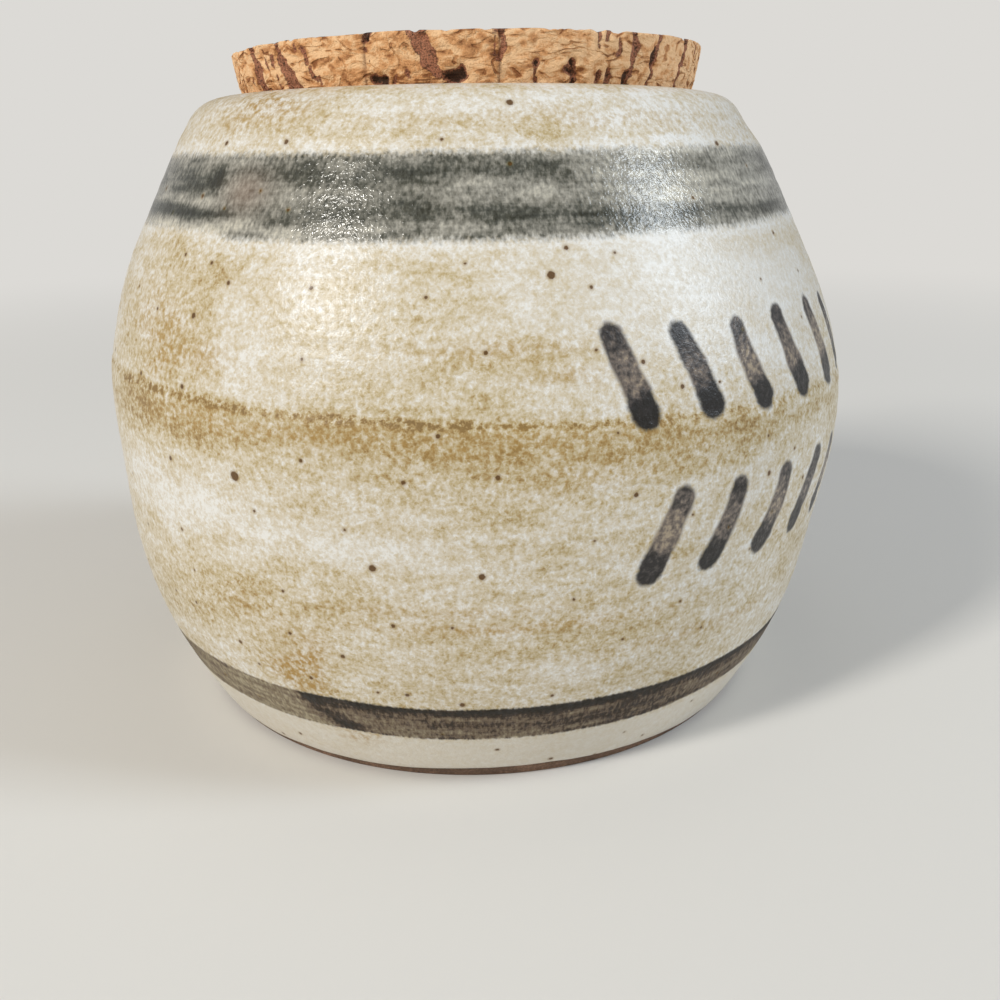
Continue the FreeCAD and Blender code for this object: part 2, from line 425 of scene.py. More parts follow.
def store_lower_band(piece, azimuth, height, points):
    """The umber wash round the foot: distance inside its edges, and how heavy it lies."""
    waver = 0.3 * lumps(points * (1, 1, 0.1), 20, 9)
    low = LOWER_BAND[0] + waver + 0.5 * soft_step(azimuth, 10, 50)
    high = LOWER_BAND[1] + waver
    below_top = high - height
    store(piece, "lower_edge", np.minimum(height - low, below_top))
    # The brush was set down along a slanting edge, blotted, and drawn on round to the right.
    wet = 0.50 + 0.05 * soft_step(azimuth, -10, 30)
    wet += 0.13 * lumps(points * (0.16, 0.16, 1), 1.5, 10)
    wet += 0.56 * bell(height, high - 0.8, 1.0)
    wet -= 0.10 * bell(height, low + 1.2, 1.4)
    off_blot = (degrees_from(azimuth, -27) * 1.25 - below_top) / 1.6
    wet += 0.34 * bell(off_blot, 0, 1.5) * soft_step(-azimuth, 14, 22)
    wet += 0.30 * patch(azimuth, height, -19.6, 14.8, 2.4, 1.5)
    wet -= 0.26 * patch(azimuth, height, -24.5, 15.6, 1.6, 1.3)
    wet -= 0.16 * patch(azimuth, height, -17, 17.4, 1.8, 1.3)
    # It came round again behind the start nearly dry.
    dry = 0.22 + 0.14 * lumps(points * (0.2, 0.2, 1), 1.7, 11) + 0.06 * lumps(points, 9, 15)
    dry += 0.13 * bell(height, high - 2.6, 1.2)
    fade = soft_step((azimuth - BAND_START) % 360, 150, 320)
    wet = wet * (1 - fade) + dry * fade
    past_start = degrees_from(azimuth, BAND_START + below_top * 0.38)
    near_start = np.abs(degrees_from(azimuth, BAND_START)) < 12
    wet_share = np.where(near_start, soft_step(past_start, -0.8, 0.8), 1.0)
    store(piece, "lower_load", dry * (1 - wet_share) + wet * wet_share)


def dab_strokes():
    """Slanting brush dabs in two rows, like an ear of grain.

    Each is its top and bottom places, its widths there, its weight and its bow."""
    rng = random.Random(11)
    strokes = []
    for top, bottom, first, slant, bow_side in ((91.0, 78.2, 18.2, 3.4, 1),
                                                (62.2, 49.2, 23.4, -3.4, -1)):
        for count in range(9):
            middle = first + 9.6 * count + rng.uniform(-0.4, 0.4)
            strokes.append((
                (middle - slant / 2 + rng.uniform(-0.4, 0.4), top + rng.uniform(-0.7, 0.5)),
                (middle + slant / 2 + rng.uniform(-0.3, 0.3), bottom + rng.uniform(-0.6, 0.6)),
                rng.uniform(2.1, 2.5), rng.uniform(2.7, 3.1),
                rng.uniform(-0.12, 0.16), rng.uniform(-1.0, 0.2) * bow_side,
            ))
    return strokes


def store_dabs(piece, azimuth, height, points):
    """Distance out of the nearest brush dab, and how heavy the wash lies in it."""
    edge = np.full(azimuth.shape, 9.0)
    load = np.zeros(azimuth.shape)
    wobble = 0.28 * lumps(points, 3.4, 12)
    degree = math.radians(1) * DAB_GIRTH
    for (top_azimuth, top), (low_azimuth, bottom), thin, thick, weight, bow in dab_strokes():
        across = degrees_from(azimuth, top_azimuth) * degree
        up = height - top
        lean = (low_azimuth - top_azimuth) * degree
        fall = bottom - top
        share = stroke_share(across, up, lean, fall)
        bend = bow * 4 * share * (1 - share)
        off = np.hypot(across - share * lean - bend, up - share * fall)
        out = off - (thin + (thick - thin) * share ** 0.8) + wobble
        pooled = 0.30 + weight + 0.52 * soft_step(share, 0.66, 0.84)
        pooled += 0.22 * (1 - soft_step(share, 0.0, 0.3)) - 0.08 * bell(share, 0.5, 0.2)
        pooled += 0.12 * bell(out, -0.9, 0.8)
        load = np.where(out < edge, pooled, load)
        edge = np.minimum(edge, out)
    store(piece, "dab_edge", edge)
    store(piece, "dab_load", load)


def store_specks(piece, azimuth, height, points, glazed):
    """Gives the points near each iron speck its centre and its half width."""
    rng = random.Random(5)
    specks = list(IRON_SPECKS)
    for _ in range(SPECK_TRIES):
        place, level = rng.uniform(-180, 180), rng.uniform(3, 131)
        width = rng.choice((0.35, 0.42, 0.5, 0.7))
        gaps = [math.hypot(degrees_from(place, s[0]) * 1.3, level - s[1]) for s in specks]
        if min(gaps) > SPECK_SPACING:
            specks.append((place, level, width))
    centres = np.zeros(points.shape)
    sizes = np.zeros(azimuth.shape)
    first = np.full(azimuth.shape, 99.0)
    second = first.copy()
    flat = points.reshape(-1, 3)
    for place, level, width in specks:
        off = np.hypot(degrees_from(azimuth, place) * 1.45, height - level) + 99 * ~glazed
        centre = flat[np.argmin(off)]
        apart = np.linalg.norm(points - centre, axis=-1)
        closer = apart < first
        second = np.where(closer, first, np.minimum(second, apart))
        first = np.where(closer, apart, first)
        centres[closer] = centre * MM
        sizes[closer] = width / 2 * MM
    # A free strip keeps neighbours apart, as the shader blends from point to point.
    free = (first > sizes / MM + SPECK_ROOM) | (second - first < 1.8)
    centres[free] = 0
    sizes[free] = 0
    store(piece, "speck_centre", centres, "FLOAT_VECTOR")
    store(piece, "speck_size", sizes)


def pot_rings(sides):
    """The plain rings: azimuth, place along the outline, radius, height, and where it shows.

    The last value returned is the height of the floor inside."""
    outline = turned_outline(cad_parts["stoneware_pot"])
    along = np.concatenate([[0], np.cumsum(np.hypot(*np.diff(outline, axis=0).T))])
    stations, throat = pot_stations(outline, along)
    base_radii = np.append(np.arange(6, 64, 7.0), 64.5)
    count = len(base_radii) + len(stations)
    azimuth = np.tile(degrees_from(np.arange(sides) * 360 / sides, 0), (count, 1))
    reach = np.tile(np.append(base_radii * 0 - 1, stations)[:, None], (1, sides))
    # The rings near the foot follow the wobbling line where the glaze stops.
    foot = turned(azimuth, 66, reach * 0)
    wobble = 0.3 * lumps(foot, 14, 20) + 0.14 * lumps(foot, 4, 21)
    wobble += 1.3 * bell(degrees_from(azimuth, 8), 0, 26)
    moved = reach + wobble * soft_step(reach, 0.8, 2.3) * (1 - soft_step(reach, 5, 12))
    radius = np.interp(moved, along, outline[:, 0])
    height = np.interp(moved, along, outline[:, 1])
    radius[:len(base_radii)] = base_radii[:, None]
    height[:len(base_radii)] = 0
    outside = (reach > FOOT_EDGE) & (reach < throat)
    return azimuth, reach, radius, height, outside, outline[-1, 1]


def thrown_marks(settings, azimuth, reach, radius, height, outside):
    """How deep the marks of the wheel, the crease and the glaze's edge are cut."""
    points = turned(azimuth, radius, height)
    wall = soft_step(height, 3, 9) * (1 - soft_step(height, 126, 131)) * outside
    spiral = (height + azimuth / 360 * RING_RISE) * 2 * math.pi
    rings = 0.5 + 0.3 * np.sin(spiral / RING_RISE + 1.2 * lumps(points, 40, 22))
    rings += 0.2 * np.sin(spiral / FINE_RING_RISE + 2)
    pressure = 0.55 + 0.45 * lumps(points * (1, 1, 2), 30, 23)
    depth = np.maximum(settings.ring_depth / MM * rings * wall * pressure, 0)
    depth += 0.12 * wall * (0.5 + 0.5 * lumps(points, 22, 24))
    rise = height - CREASE
    groove = 0.22 * bell(rise, 0.2, 0.9)
    set_back = 0.14 * soft_step(rise, -0.5, 0.6) * (1 - soft_step(rise, 2, 9))
    # The lip was drawn in a little on the right.
    drawn_in = 0.9 * patch(azimuth, height, 80, 127, 28, 4)
    depth += (groove + set_back + drawn_in) * outside
    unglazed = reach < GLAZE_LINE
    depth += settings.glaze_step / MM * unglazed
    depth += 0.04 * (1 + np.sin(height * 9)) * (unglazed & (reach > FOOT_EDGE))
    # The base was trimmed on the wheel in one long spiral.
    trimmed = 0.10 + 0.08 * np.sin(radius * 1.9 + np.radians(azimuth))
    trimmed = np.maximum(trimmed + 0.05 * lumps(points, 9, 25), LEAST_DEPTH)
    depth = np.where(reach < FOOT_EDGE, trimmed, depth)
    return np.where(np.abs(reach) < FOOT_EDGE, LEAST_DEPTH, depth)


def throw_the_pot(settings):
    """The pot's skin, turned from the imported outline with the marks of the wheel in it."""
    azimuth, reach, radius, height, outside, floor = pot_rings(settings.sides)
    slope_r = np.gradient(radius, axis=0)
    slope_z = np.gradient(height, axis=0)
    length = np.maximum(np.hypot(slope_r, slope_z), 1e-6)
    outwards = turned(azimuth, slope_z / length, -slope_r / length)
    outwards[reach < FOOT_EDGE] = (0, 0, -1)
    depth = thrown_marks(settings, azimuth, reach, radius, height, outside)
    points = turned(azimuth, radius, height) - outwards * depth[..., None]

    # The crease drops with its line, and the soft pot leaned a little on the wheel.
    rightwards = np.sin(np.radians(azimuth))
    drop = settings.crease_wander / MM * rightwards * bell(height, CREASE, 17)
    points[..., 2] -= drop * (reach > 0)
    lean = settings.slump / MM
    belly = soft_step(height, 38, 62) * (1 - soft_step(height, 82, 104))
    points[..., 0] -= lean * (1 - belly)

    piece = turned_skin("thrown_stoneware_pot", points, (-lean, 0, 0.1), (-lean, 0, floor))
    shown = points[..., 2]
    # The inside gets a height that no band or dab reaches.
    store_iron_sheen_and_shade(piece, azimuth, shown, points, height - CREASE)
    store_upper_band(piece, azimuth, np.where(outside, shown, 60), points)
    store_lower_band(piece, azimuth, np.where(outside, shown, 60), points)
    store_dabs(piece, azimuth, np.where(outside, shown, 10), points)
    store_specks(piece, azimuth, height, points, outside & (height > 2.5))

    clay = reach < GLAZE_LINE
    quads = (clay[:-1] & clay[1:]).ravel()
    finishes = np.zeros(len(piece.data.polygons), np.int32)
    finishes[:quads.size] = quads
    finishes[quads.size:quads.size + settings.sides] = 1
    piece.data.materials.append(oatmeal_glaze(settings))
    piece.data.materials.append(bare_clay(settings))
    piece.data.polygons.foreach_set("material_index", finishes)
    piece.data.update()
    return piece


def lay_wash(tree, under, edge, load, tearing, covering, breaking, thinning, stops):
    """Brushed oxide wash over a colour: the new colour, and how far the wash covers.

    edge is the distance inside the wash. tearing is a noise and its amount, which tear
    that edge. covering is where the cover starts and is full, and how full that is.
    breaking holds noises and their amounts, which break up the load, and thinning takes
    their middle value off again. stops colour the wash by its weight."""
    torn = add_node(
        tree, "ShaderNodeMath", {0: tearing[0], 1: tearing[1], 2: edge},
        operation="MULTIPLY_ADD",
    ).outputs["Value"]
    cover = add_node(
        tree, "ShaderNodeMapRange",
        {"Value": torn, "From Min": covering[0], "From Max": covering[1], "To Min": 0.0,
         "To Max": covering[2]},
        interpolation_type="SMOOTHSTEP",
    ).outputs["Result"]
    weight = load
    for part, amount in breaking:
        weight = add_node(
            tree, "ShaderNodeMath", {0: part, 1: amount, 2: weight}, operation="MULTIPLY_ADD",
        ).outputs["Value"]
    weight = add_node(
        tree, "ShaderNodeMath", {0: weight, 1: thinning}, operation="SUBTRACT",
    ).outputs["Value"]
    ramp = add_node(tree, "ShaderNodeValToRGB", {"Fac": weight})
    set_stops(ramp, [(place, linear(colour)) for place, colour in stops])
    washed = add_node(
        tree, "ShaderNodeMix", {0: cover, 6: under, 7: ramp.outputs["Color"]},
        data_type="RGBA",
    ).outputs[2]
    return washed, cover


def glaze_patterns(tree, place, grain_size):
    """The noises in the glaze, each with its size, squeeze, detail, roughness and twist.

    They are the mottles, the flecks between them, clumps of them, level streaks from the
    wheel, feathering down the wall, and curls where the glaze crawled together."""
    return [
        add_node(
            tree, "ShaderNodeTexNoise",
            {"Scale": 1 / size, "Detail": detail, "Roughness": roughness,
             "Distortion": distortion, "Vector": add_node(
                 tree, "ShaderNodeVectorMath", {0: place, 1: squeeze}, operation="MULTIPLY",
             ).outputs["Vector"]},
        ).outputs["Fac"]
        for size, squeeze, detail, roughness, distortion in (
            (grain_size, (1, 1, 1), 2, 0.6, 0),
            (grain_size / 2.3, (1, 1, 1), 1, 0.5, 0),
            (5 * MM, (0.55, 0.55, 1.2), 3, 0.6, 0),
            (1.5 * MM, (0.08, 0.08, 1), 3, 0.65, 0),
            (0.7 * MM, (1, 1, 0.35), 2, 0.6, 0),
            (grain_size / 0.8, (1, 1, 1), 1, 0.5, 0.8),
        )
    ]


def glaze_shares(tree, place, value, grain, fleck, clump, curls):
    """How far each feature of the glaze shows at a point, by its name."""
    off_curl = add_node(
        tree, "ShaderNodeMath", {0: curls, 1: 0.5}, operation="SUBTRACT",
    ).outputs["Value"]
    off_curl = add_node(
        tree, "ShaderNodeMath", {0: off_curl}, operation="ABSOLUTE",
    ).outputs["Value"]
    rise = add_node(
        tree, "ShaderNodeMath", {0: clump, 1: 1.6, 2: value["crease_rise"]},
        operation="MULTIPLY_ADD",
    ).outputs["Value"]
    rise = add_node(
        tree, "ShaderNodeMath", {0: rise, 1: 0.8}, operation="SUBTRACT",
    ).outputs["Value"]
    off_crease = add_node(
        tree, "ShaderNodeMath", {0: rise}, operation="ABSOLUTE",
    ).outputs["Value"]
    centre = add_node(
        tree, "ShaderNodeAttribute", attribute_name="speck_centre",
    ).outputs["Vector"]
    off_speck = add_node(
        tree, "ShaderNodeVectorMath", {0: place, 1: centre}, operation="DISTANCE",
    ).outputs["Value"]
    off_speck = add_node(
        tree, "ShaderNodeMath", {0: fleck, 1: 0.35 * MM, 2: off_speck},
        operation="MULTIPLY_ADD",
    ).outputs["Value"]
    off_speck = add_node(
        tree, "ShaderNodeMath", {0: off_speck, 1: value["speck_size"]}, operation="SUBTRACT",
    ).outputs["Value"]

    # Each share is read off a value: its curve, that value's range, and the share's own
    return {
        name: add_node(
            tree, "ShaderNodeMapRange",
            {"Value": part, "From Min": start, "From Max": end, "To Min": low, "To Max": high},
            interpolation_type=curve,
        ).outputs["Result"]
        for name, part, curve, start, end, low, high in (
            ("pale curl", off_curl, "SMOOTHSTEP", 0.0, 0.05, -0.12, 0.04),
            ("crease line", off_crease, "SMOOTHSTEP", 0.1, 1.5, 1.0, 0.0),
            ("crease breaks", grain, "LINEAR", 0.3, 0.65, 0.05, 0.4),
            ("held under", rise, "SMOOTHSTEP", 0.9, -0.6, 0.0, 0.16),
            ("fading down", rise, "SMOOTHSTEP", -12.0, -2.0, 0.0, 1.0),
            ("dab halo", value["dab_edge"], "SMOOTHSTEP", 0.6, 2.2, -0.11, 0.0),
            ("band halo", value["upper_edge"], "SMOOTHSTEP", -3.2, -0.2, 0.0, -0.2),
            ("rust spots", grain, "LINEAR", 0.42, 0.68, 0.08, 0.78),
            ("speck", off_speck, "SMOOTHSTEP", 0.32 * MM, 0.08 * MM, 0.0, 0.94),
            ("bleed", off_speck, "SMOOTHSTEP", 0.75 * MM, 0.2 * MM, 0.0, 0.45),
            ("roughness", grain, "LINEAR", 0.3, 0.7, 0.30, 0.45),
        )
    }


def brushed_bands(tree, colour, value, grain, streak, feather):
    """The washes brushed over a colour: the new colour, and the slate and umber covers."""
    slated, slate_cover = lay_wash(
        tree, colour, value["upper_edge"], value["upper_load"],
        tearing=(feather, 1.9), covering=(0.2, 2.0, 0.97),
        breaking=((grain, 0.65), (feather, 0.85), (streak, 0.5)), thinning=0.975,
        stops=((0.0, "#C8C3B4"), (0.3, "#9C998F"), (0.52, "#78766D"), (0.74, "#474840"),
               (1.0, "#1E2119")),
    )
    taupe_share = add_node(
        tree, "ShaderNodeMath", {0: value["upper_taupe"], 1: slate_cover},
        operation="MULTIPLY",
    ).outputs["Value"]
    slated = add_node(
        tree, "ShaderNodeMix", {0: taupe_share, 6: slated, 7: (*linear("#8C7464"), 1)},
        data_type="RGBA",
    ).outputs[2]
    umbered, umber_cover = lay_wash(
        tree, slated, value["lower_edge"], value["lower_load"],
        tearing=(feather, 0.9), covering=(0.25, 0.9, 0.97),
        breaking=((feather, 1.2), (streak, 1.0)), thinning=1.1,
        stops=((0.0, "#A0967E"), (0.2, "#827660"), (0.46, "#625243"), (0.66, "#2E2118"),
               (0.95, "#0E0804")),
    )
    dabbed, _ = lay_wash(
        tree, umbered, value["dab_edge"], value["dab_load"],
        tearing=(grain, 1.1), covering=(1.05, 0.0, 0.98),
        breaking=((grain, 1.3),), thinning=0.65,
        stops=((0.0, "#A2937E"), (0.25, "#746960"), (0.5, "#46403D"), (0.72, "#211E1F"),
               (1.0, "#0D0C0D")),
    )
    return dabbed, slate_cover, umber_cover


def oatmeal_glaze(settings):
    """Oatmeal stoneware glaze, dipped and fired in reduction, over brushed oxide bands.

    To the eye: a satin, slightly pebbled skin, off-white where it is thick, that breaks
    into millimetre mottles of tan and ochre where it is thin, with iron specks in it."""
    material, tree, shader = new_material("oatmeal_stoneware_glaze")
    place = add_node(tree, "ShaderNodeTexCoord").outputs["Object"]
    value = {
        name: add_node(tree, "ShaderNodeAttribute", attribute_name=name).outputs["Fac"]
        for name in ("iron_sheen_and_shade", "rust", "broken_and_highlight_calm", "crease_rise", "crease_iron", "upper_edge",
                     "upper_load", "upper_taupe", "lower_edge", "lower_load", "dab_edge",
                     "dab_load", "speck_size")
    }
    grain, fleck, clump, streak, feather, curls = glaze_patterns(tree, place, settings.grain)
    share = glaze_shares(tree, place, value, grain, fleck, clump, curls)
    # The crease is a broken brown line, with ochre held under it.
    line_iron, under_iron, rusty = [
        add_node(
            tree, "ShaderNodeMath", {0: share[first], 1: second}, operation="MULTIPLY",
            use_clamp=True,
        ).outputs["Value"]
        for first, second in (
            ("crease line", share["crease breaks"]), ("held under", share["fading down"]),
            ("rust spots", value["rust"]),
        )
    ]

    # How thin the glaze is: its mottles about nought, scaled by how broken it is, and what
    # the crease and the haloes add
    mottle = -1.365
    for part, amount in ((grain, 1.15), (fleck, 0.45), (clump, 0.78), (streak, 0.35),
                         (share["pale curl"], 1)):
        mottle = add_node(
            tree, "ShaderNodeMath", {0: part, 1: amount, 2: mottle}, operation="MULTIPLY_ADD",
        ).outputs["Value"]
    # The iron value also carries painted highlight on the shoulder and painted shade low on the
    # wall.
    tone = value["iron_sheen_and_shade"]
    for part, amount in (
        (mottle, value["broken_and_highlight_calm"]), (line_iron, value["crease_iron"]),
        (under_iron, value["crease_iron"]), (share["dab halo"], 1), (share["band halo"], 1),
    ):
        tone = add_node(
            tree, "ShaderNodeMath", {0: part, 1: amount, 2: tone}, operation="MULTIPLY_ADD",
        ).outputs["Value"]
    ramp = add_node(tree, "ShaderNodeValToRGB", {"Fac": tone})
    set_stops(ramp, (
        (0.0, settings.white), (0.2, settings.cream), (0.42, settings.beige),
        (0.62, settings.tan), (0.8, settings.ochre), (1.0, settings.brown),
    ))
    rusted = add_node(
        tree, "ShaderNodeMix", {0: rusty, 6: ramp.outputs["Color"],
                                7: (*linear("#A58345"), 1)}, data_type="RGBA",
    ).outputs[2]

    speckled, slate_cover, umber_cover = brushed_bands(
        tree, rusted, value, grain, streak, feather,
    )
    # Each iron speck has a stain bled round it. They only ever darken what they lie on.
    for part, colour in (("bleed", "#8A6C38"), ("speck", "#593B14")):
        speckled = add_node(
            tree, "ShaderNodeMix", {0: share[part], 6: speckled, 7: (*linear(colour), 1)},
            data_type="RGBA", blend_type="DARKEN",
        ).outputs[2]

    # The slate wash fired glossier than the glaze, and the umber wash drier.
    roughness = share["roughness"]
    for cover, amount in ((slate_cover, -0.24), (umber_cover, 0.3)):
        roughness = add_node(
            tree, "ShaderNodeMath", {0: cover, 1: amount, 2: roughness},
            operation="MULTIPLY_ADD",
        ).outputs["Value"]

    # Pebbled satin surface: lumps as wide as the mottles, and finer ones between
    pebble = add_node(
        tree, "ShaderNodeMath", {0: fleck, 1: 0.6, 2: grain}, operation="MULTIPLY_ADD",
    ).outputs["Value"]
    bump = add_node(
        tree, "ShaderNodeBump", {"Height": pebble, "Strength": 1.0, "Distance": 0.11 * MM},
    )
    tree.links.new(speckled, shader.inputs["Base Color"])
    tree.links.new(roughness, shader.inputs["Roughness"])
    tree.links.new(bump.outputs["Normal"], shader.inputs["Normal"])
    shader.inputs["IOR"].default_value = 1.5
    shader.inputs["Specular IOR Level"].default_value = 0.36
    return material


def bare_clay(settings):
    """Bare stoneware clay, sponged and fired brown.

    To the eye: dry and dull, with sand in it half a millimetre across."""
    material, tree, shader = new_material("bare_stoneware_clay")
    place = add_node(tree, "ShaderNodeTexCoord").outputs["Object"]
    sand = add_node(
        tree, "ShaderNodeTexNoise",
        {"Vector": place, "Scale": 1 / (0.5 * MM), "Detail": 3.0, "Roughness": 0.6},
    ).outputs["Fac"]
    toast = add_node(
        tree, "ShaderNodeTexNoise", {"Vector": place, "Scale": 1 / (9 * MM), "Detail": 3.0},
    ).outputs["Fac"]
    tone = add_node(
        tree, "ShaderNodeMath", {0: toast, 1: 0.6, 2: sand}, operation="MULTIPLY_ADD",
    ).outputs["Value"]
    ramp = add_node(tree, "ShaderNodeValToRGB", {"Fac": tone})
    dark = tuple(part * 0.55 for part in settings.clay)
    pale = tuple(min(1, part * 1.7) for part in settings.clay)
    set_stops(ramp, ((0.55, dark), (0.8, settings.clay), (1.0, pale)))
    bump = add_node(
        tree, "ShaderNodeBump", {"Height": sand, "Strength": 1.0, "Distance": 0.12 * MM},
    )
    tree.links.new(ramp.outputs["Color"], shader.inputs["Base Color"])
    tree.links.new(bump.outputs["Normal"], shader.inputs["Normal"])
    shader.inputs["Roughness"].default_value = 0.9
    return material


# ----------------------------------------------------------------- the cork

# Bark channels cut through by the side: azimuth and height of the upper end, the same
# for the lower end, width, depth, and how dark, 1 being an open pit.
BARK_CHANNELS = (
    (-66, 135.2, -66, 134.0, 0.8, 0.3, 0.5), (-58.7, 134.9, -58.7, 134.2, 0.9, 0.4, 0.7),
    (-71, 134, -69, 121.4, 0.9, 0.4, 0.6),
    (-56.5, 141.8, -54.9, 137, 2.2, 0.4, 0.45), (-54.9, 137, -52.6, 121.4, 3.6, 0.4, 0.45),
    (-57.4, 141, -56.4, 137, 0.7, 0.7, 0.7), (-50.5, 138.5, -50, 136.6, 0.9, 0.5, 0.7),
    (-47.6, 139, -46.6, 129, 1.0, 0.3, 0.45),
    (-45.4, 141.8, -44.4, 138, 1.6, 0.5, 0.5), (-44.4, 138, -42, 134, 2.7, 0.4, 0.47),
    (-42, 134, -40.5, 130, 4.2, 0.4, 0.47),
    (-44.6, 138.6, -43.6, 136, 0.9, 0.9, 0.72), (-39.6, 141.0, -38.8, 137, 0.8, 0.3, 0.45),
    (-37.4, 139.4, -36.2, 136.4, 0.8, 0.5, 0.6), (-35.6, 136, -34.8, 133.9, 1.2, 0.7, 0.75),
    (-33.5, 134.4, -33.2, 133, 0.8, 0.4, 0.5),
    (-20.4, 141.2, -20.8, 140.2, 1.7, 0.8, 0.78), (-21.2, 139.6, -20.4, 135, 0.5, 0.4, 0.55),
    (-19.3, 133.3, -17.6, 133.1, 2.2, 1.1, 0.88), (-15, 134, -16, 132.6, 1.1, 0.4, 0.5),
    (-12.8, 134.6, -12.4, 133.4, 0.8, 0.3, 0.45),
    (-10.2, 141.8, -9.6, 139, 3.9, 0.35, 0.43), (-9.6, 139, -7.6, 136, 3.5, 0.35, 0.43),
    (-7.6, 136, -5.9, 134.1, 2.0, 0.35, 0.43), (-12.2, 141.4, -11.1, 138.6, 0.6, 0.7, 0.7),
    (-3.4, 133.6, -1.6, 133.8, 2.9, 1.3, 0.9), (-1.3, 135, -1.2, 134, 1.6, 1.0, 0.8),
    (6.4, 141.8, 6.8, 138, 1.9, 0.3, 0.42), (5.4, 141.2, 5.3, 137, 0.6, 0.5, 0.75),
    (7, 138, 6.4, 136.6, 1.1, 0.3, 0.42),
    (13.8, 135.7, 13.9, 135.5, 1.0, 0.8, 0.95), (13.9, 135.2, 14.5, 132.2, 0.7, 0.6, 0.72),
    (22.3, 135.9, 22.5, 135.5, 1.3, 0.9, 0.95), (21.6, 134.6, 22.6, 134.2, 2.0, 0.9, 0.72),
    (22.6, 133.4, 22.8, 121.4, 1.3, 0.8, 0.8), (28.5, 141.8, 28.4, 138.6, 1.0, 0.4, 0.6),
    (30.3, 141.8, 30.2, 139.6, 0.9, 0.4, 0.6), (29.0, 134.2, 29.0, 121.4, 1.4, 0.6, 0.62),
    (31.5, 134.5, 31.6, 121.4, 1.4, 0.6, 0.62), (33.6, 140.4, 33.8, 137.4, 1.1, 0.4, 0.6),
    (37.8, 141.8, 38.6, 138.6, 2.1, 0.5, 0.46), (38.6, 138.6, 37.8, 134, 1.8, 0.5, 0.48),
    (38.9, 138.6, 38.9, 137.1, 0.9, 0.9, 0.93), (37.2, 134.4, 36.4, 121.4, 1.8, 1.0, 0.85),
    (46.4, 141.8, 46.4, 139.2, 1.8, 0.3, 0.42), (45.6, 138.8, 45.0, 137.0, 1.4, 0.9, 0.92),
    (44.8, 136.4, 44.0, 121.4, 1.1, 0.7, 0.75), (59.4, 141.8, 58.6, 137, 1.9, 0.5, 0.6),
    (57.8, 136.6, 54.8, 121.4, 1.4, 0.6, 0.62), (67.5, 141.0, 66.6, 134, 0.9, 0.4, 0.48),
    (72, 135.5, 71.4, 121.4, 1.4, 0.5, 0.5),
)
GLUE_SEAMS = (-18.4, 5.6)     # x of the seams between the cork's three boards
CORK_GIRTH = 49.5             # radius of the cork's side, about halfway up
FOOT_ROUNDING = 0.8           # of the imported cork's lower edge
SAWN_OFF = 0.66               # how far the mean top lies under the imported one
SHOWN_FROM = 131.0            # height from which the side shows over the lip
FACE_PORES = 330              # pores that open on each flat face
BASE, SIDE, TOP = range(3)


def cork_outline(node):
    """Radius at the bottom and the top of the cork's tapered side, and their heights."""
    low, high = [corner.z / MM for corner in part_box(node)]
    corners = np.array([corner.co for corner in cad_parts[node].data.vertices]) / MM
    radii = np.hypot(corners[:, 0], corners[:, 1])
    lowest = radii[corners[:, 2] < low + 0.01].max()
    return lowest + FOOT_ROUNDING, radii.max(), low, high


def cork_rings(foot, rim, low, top, taper):
    """Radius, height and face of each ring, from the base's middle to the top's."""
    base_radii = np.array([3, 7, 12, 18, 24, 30, 35.5, 40, 43, 45])
    side_heights = np.concatenate([
        [low, low + 0.12, low + 0.4], np.arange(low + 0.9, SHOWN_FROM, 1.1),
        np.arange(SHOWN_FROM, top - 0.5, 0.42), [top - 0.34, top - 0.14, top],
    ])
    side_radii = foot + taper * (side_heights - low)
    side_radii[:3] -= (FOOT_ROUNDING, 0.35, 0.08)
    side_radii[-3:] -= (0.03, 0.1, 0.26)
    top_radii = rim - 0.1 - np.concatenate([
        [0.1, 0.4], np.arange(0.8, 6, 0.5), np.arange(6.2, 30, 0.75), np.arange(30, 50, 1.4),
    ])
    radii = np.concatenate([base_radii, side_radii, top_radii])
    heights = np.concatenate([base_radii * 0 + low, side_heights, top_radii * 0 + top])
    counts = (len(base_radii), len(side_radii), len(top_radii))
    return radii, heights, np.repeat((BASE, SIDE, TOP), counts)


def side_channels(rng):
    """The placed channels and, round the back, more of their kind."""
    channels = [list(c) for c in BARK_CHANNELS]
    place = 79.0
    while place < 285:
        kind = rng.random()
        drift = rng.uniform(-2.2, 2.2)
        if kind < 0.5:
            channels.append([place, 141.8, place + drift, 121.4, rng.uniform(0.8, 2.0),
                             rng.uniform(0.3, 0.7), rng.uniform(0.42, 0.75)])
        elif kind < 0.8:
            top = rng.uniform(133.5, 138)
            channels.append([place, top, place + drift / 3, top - rng.uniform(1.2, 3.4),
                             rng.uniform(0.8, 2.6), rng.uniform(0.7, 1.3),
                             rng.uniform(0.7, 0.97)])
        else:
            channels.append([place, 141.8, place + drift, rng.uniform(134, 138),
                             rng.uniform(0.8, 2.6), rng.uniform(0.3, 0.5),
                             rng.uniform(0.4, 0.6)])
        place += rng.uniform(3.5, 12)
    return channels


def face_pores(rng, rim, channels):
    """Bark pores that open on a flat face: x, y, length, width, turn, depth, darkness."""
    pores = []
    for azimuth, top, low_azimuth, bottom, width, depth, dark in channels:
        if top > 141:
            turn = math.radians(azimuth)
            pores.append((math.sin(turn) * (rim - 0.6), -math.cos(turn) * (rim - 0.6),
                          rng.uniform(1.6, 4.2), width, turn + math.pi / 2, depth, dark))
    for _ in range(FACE_PORES):
        reach = (rim - 1.5) * math.sqrt(rng.random())
        turn = rng.uniform(0, 2 * math.pi)
        size = 0.5 + 2.4 * rng.random() ** 3.2
        pores.append((math.sin(turn) * reach, -math.cos(turn) * reach,
                      size * rng.uniform(1.2, 2.6), size, rng.gauss(0.25, 0.35),
                      0.25 + size * rng.uniform(0.15, 0.42),
                      min(0.97, 0.42 + 0.2 * size * rng.uniform(0.6, 1.5))))
    return pores


